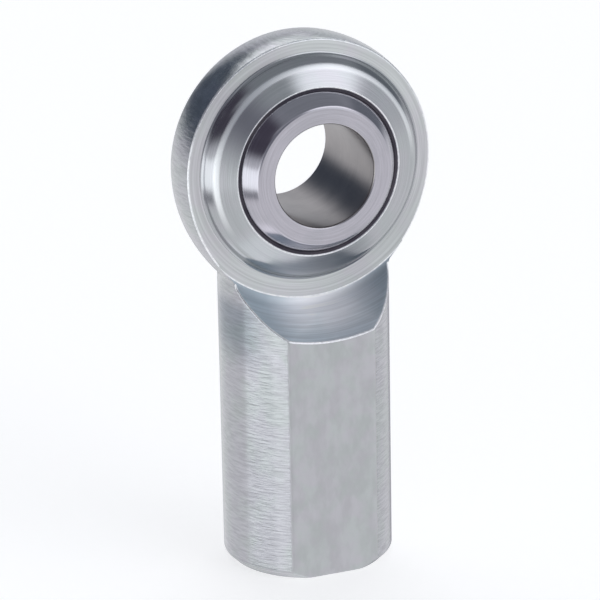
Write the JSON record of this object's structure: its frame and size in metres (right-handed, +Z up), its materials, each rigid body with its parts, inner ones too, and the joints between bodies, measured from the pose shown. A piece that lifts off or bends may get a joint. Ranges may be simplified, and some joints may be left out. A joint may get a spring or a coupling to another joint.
{
  "type": "rod end bearing",
  "caption": "Female rod end: an internally threaded shank with wrench flats and an eye that holds a swivelling bored ball in a lined race.",
  "frame": {"origin": "centre of the shank's end face, which the part stands on", "axes": "+Z up along the shank to the eye, Y along the bore of the ball, X across both"},
  "size_m": [0.04, 0.0222, 0.0834],
  "materials": {
    "zinc_plated_steel": "clear zinc plate over turned and milled steel, satin",
    "swaged_zinc_steel": "clear zinc plate over swaged steel, semi-bright",
    "chromed_steel": "hard chrome on ground steel, bright on the sphere and satin on the faces",
    "liner_fabric": "woven low-friction liner, dark and matte"
  },
  "bodies": {
    "housing": {"rod_end_body": "zinc_plated_steel", "race": "swaged_zinc_steel"},
    "liner_turn": {"liner": "liner_fabric"},
    "ball": {"ball": "chromed_steel"}
  },
  "joints": [
    {"name": "ball_spin", "type": "hinge", "parent": "housing", "child": "liner_turn", "pos_m": [0, 0, 0.0635], "axis": [0, 1, 0], "continuous": true},
    {"name": "ball_tilt", "type": "hinge", "parent": "liner_turn", "child": "ball", "pos_m": [0, 0, 0.0635], "axis": [1, 0, 0], "range_deg": [-12, 12]}
  ]
}
